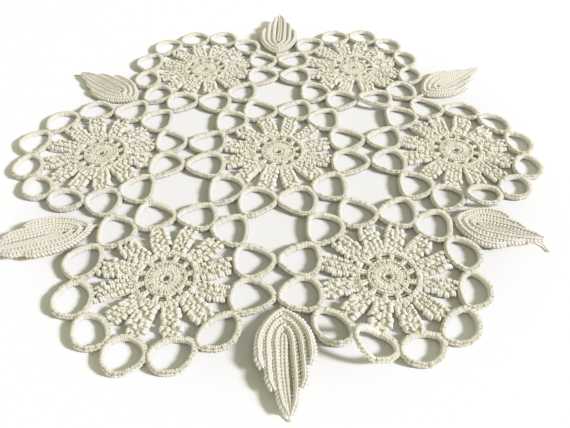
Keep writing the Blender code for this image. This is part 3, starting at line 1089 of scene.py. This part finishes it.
def leafPoint(name, line, share, side, rise):
    leaf, root, forward, left = leafFrame(name)
    outwards = 1 - line / leafForm["lines"]
    bend = (1 - outwards) * leafForm["bend"]
    along = bend + (1 - bend) * share
    across = side * outwards * leafSpread(share, outwards, leaf["taper"])
    edgeRise = leaf["leftRise"] if side > 0 else leaf["rightRise"]
    height = leafForm["rootHeight"] + rise + leaf["tipRise"] * along ** leafForm["curl"]
    height += edgeRise * abs(across) ** leafForm["curl"] * math.sqrt(along)
    place = root + forward * along + left * across * leaf["halfWidth"]
    stalk = leaf["stalk"] * max(1 - line, 0) * max(1 - share / leafForm["stalkShare"], 0)
    return place - forward.normalized() * stalk + zUp * height


def leafUp(name, line, share, side):
    # the leaf's upward direction at a point, from its neighbours
    reach, start = 0.03, 0.02  # nearer the root there is no width to measure
    near = leafPoint(name, line, max(share - reach, start), side, 0)
    far = leafPoint(name, line, min(share + reach, 1), side, 0)
    inner = leafPoint(name, min(line + 0.5, leafForm["lines"]), max(share, start), side, 0)
    outer = leafPoint(name, max(line - 0.5, 0), max(share, start), side, 0)
    normal = (far - near).cross(outer - inner)
    if normal.length < 0.0001:
        return zUp
    normal.normalize()
    return normal if normal.z > 0 else -normal


def leafPaths(name):
    crest = leafForm["thickness"] + leafForm["ribRise"]
    steps = 22
    paths = []
    for rib, end in enumerate(leafForm["ribEnds"]):
        line = 2 * rib + 1
        last = end - leafForm["ribGap"]
        shares = [last - last * (k / steps) ** 0.8 for k in range(steps + 1)]
        spots = [(share, -1) for share in shares[:-1]] + [(0, 1)] + [(share, 1) for share in shares[-2::-1]]
        points, girths = [], []
        for share, side in spots:
            # each end is tucked in against the next rib
            tuck = max(0, 1 - (end - share) / leafForm["tuckShare"]) ** 2 * leafForm["tuck"]
            points.append(leafPoint(name, line + tuck, share, side, crest - tuck * 0.5) * mm)
            girths.append(1 - 0.35 * tuck)
        ups = [leafUp(name, line, share, side) for share, side in spots]
        paths.append((points, ups, girths, False))
    return paths


def leafMiddlePaths(name):
    crest = leafForm["thickness"] + leafForm["ribRise"]
    left = leafFrame(name)[3]
    start, end = leafForm["middleStart"], leafForm["middleEnd"]
    steps = 16
    paths = []
    for side in (-1, 1):
        points = []
        for k in range(steps + 1):
            share = start + (end - start) * k / steps
            # the two ribs set out from one root and come closer again to the tip
            aside = side * leafForm["middleRibs"] * min(1, 0.35 + share * 8) * (1 - 0.25 * share)
            aside += grooves.get(name, 0) * math.sin(math.pi * share)
            points.append((leafPoint(name, leafForm["lines"], share, side, crest - 0.1) + left * aside) * mm)
        paths.append((points, [zUp] * len(points), [leafForm["middleGirth"]] * len(points), False))
    return paths


def leafStalkPath(name):
    # the few stitches between the leaf and its rings
    outer, inner = [leafPoint(name, line, 0, 1, rise) for line, rise in enumerate(leafForm["stalkRises"])]
    points = [outer.lerp(inner, k / 4) * mm for k in range(5)]
    return [(points, [zUp] * 5, [leafForm["stalkGirth"]] * 5, False)]


def buildLeafStitch(shape, vary):
    # on each side of the rib a flat slanted strand, and on its crest half of a chain
    width, height = leafForm["ribWidth"], leafForm["ribHeight"]
    for side in (-1, 1):
        points = []
        for turn in (78, 45, 12, -20):
            across, up = sectionSpot(width, height, turn, 0.16, leafForm["square"])
            along = 0.75 * (turn - 30) / 50 + vary(0.06)
            points.append((along, across * side, up - height))
        outwards = Vector((0, 0.5 * side, 0.85))
        addStrand(shape, points, 0.80, 4, 4, ends=1.0, outwards=outwards, flat=0.42, paintedEndShade=(0.2, 0.6))
        points = (
            (-1.4, 0.08 * side, 0.12),
            (0, 0.28 * side + vary(0.04), 0.34),
            (1.4, 0.20 * side, 0.16),
        )
        addStrand(shape, points, 0.44, 4, 3, ends=0.75, outwards=zUp, paintedEndShade=(0, 0))


def makeTail(name):
    # the end of the working thread, left hanging at a leaf's tip
    shape = bmesh.new()
    tip = leafPoint(name, leafForm["lines"], leafForm["tailShare"], 1, 0)
    tip.z = 0
    points = [tip + Vector(spot) for spot in tails[name]]
    # painted shade darkens the whole tail, most at its ends
    addStrand(shape, points, leafForm["tailRadius"], 6, 12, ends=0.8, paintedEndShade=(1.3, 1.3))
    return bpy.data.objects.new("tail", meshOf(shape, "tail", strandCotton))


leafStitches = stitchKind("leafStitch", buildLeafStitch)
leafSection = sectionCurve(
    "leafCore", leafForm["ribWidth"], leafForm["ribHeight"], 0.14, foot=-leafForm["ribHeight"],
    square=leafForm["square"],
)


def leafGround(name):
    shape = bmesh.new()
    made = {}
    stations = (
        0, leafForm["stalkShare"], 0.05, 0.12, 0.2, 0.3, 0.4, 0.5, 0.58, 0.67, 0.76, 0.83, 0.9, 0.95, 1.0,
    )
    top = leafForm["thickness"] - leafForm["groundTop"]

    def vert(line, share, side):
        side = 0 if share == 0 or line == leafForm["lines"] else side
        key = (line, share, side)
        if key not in made:
            made[key] = shape.verts.new(leafPoint(name, line, share, side, top) * mm)
        return made[key]

    for line in range(leafForm["lines"]):
        end = leafForm["ribEnds"][min(line // 2, 2)]
        for near, far in zip(stations, stations[1:]):
            if far > end:
                continue
            for side in (1, -1):
                corners = [vert(line, near, side), vert(line, far, side)]
                corners += [vert(line + 1, far, side), vert(line + 1, near, side)]
                shape.faces.new(dict.fromkeys(corners[::side]))
    upper = list(shape.faces)
    lower = bmesh.ops.duplicate(shape, geom=list(shape.verts) + list(shape.edges) + upper)
    below = lower["vert_map"]
    for copied in lower["geom"]:
        if isinstance(copied, bmesh.types.BMVert):
            copied.co.z -= leafForm["groundThickness"] * mm
    for edge in [e for face in upper for e in face.edges if len(e.link_faces) == 1]:
        a, b = edge.verts
        shape.faces.new((a, b, below[b], below[a]))
    bmesh.ops.recalc_face_normals(shape, faces=shape.faces)
    for face in shape.faces:
        face.smooth = True
    name = "leafGround_" + name
    # the ground between the ribs is coloured with the groove tone, a painted shade
    return addObject(name, meshOf(shape, name, paintedGrooveShadeCotton))


def makeLeaf(name, seed):
    given = leafStitches, leafSection, leafForm["pitch"]
    spreads = leafForm["sizeSpread"], leafForm["turnSpread"]
    rows = ("ribs", leafPaths), ("middleRibs", leafMiddlePaths), ("stalk", leafStalkPath)
    worked = [crochetRow(row, paths(name), *given, seed + k, *spreads) for k, (row, paths) in enumerate(rows)]
    if name in tails:
        worked.append(makeTail(name))
    made = joinPieces("leafStitches_" + name, worked)
    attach(made, "root")
    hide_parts("leaf_" + name)
    ground = leafGround(name)
    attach(ground, "root")
    return made


leafPieces = {name: makeLeaf(name, 400 + 10 * k) for k, name in enumerate(leaves)}
print("doily: leaves worked,", faceCount(leafPieces), "faces")


for piece in list(bpy.data.objects):
    if "Stitches_" in piece.name or "Ground_" in piece.name:
        cottonOnly.objects.link(piece)
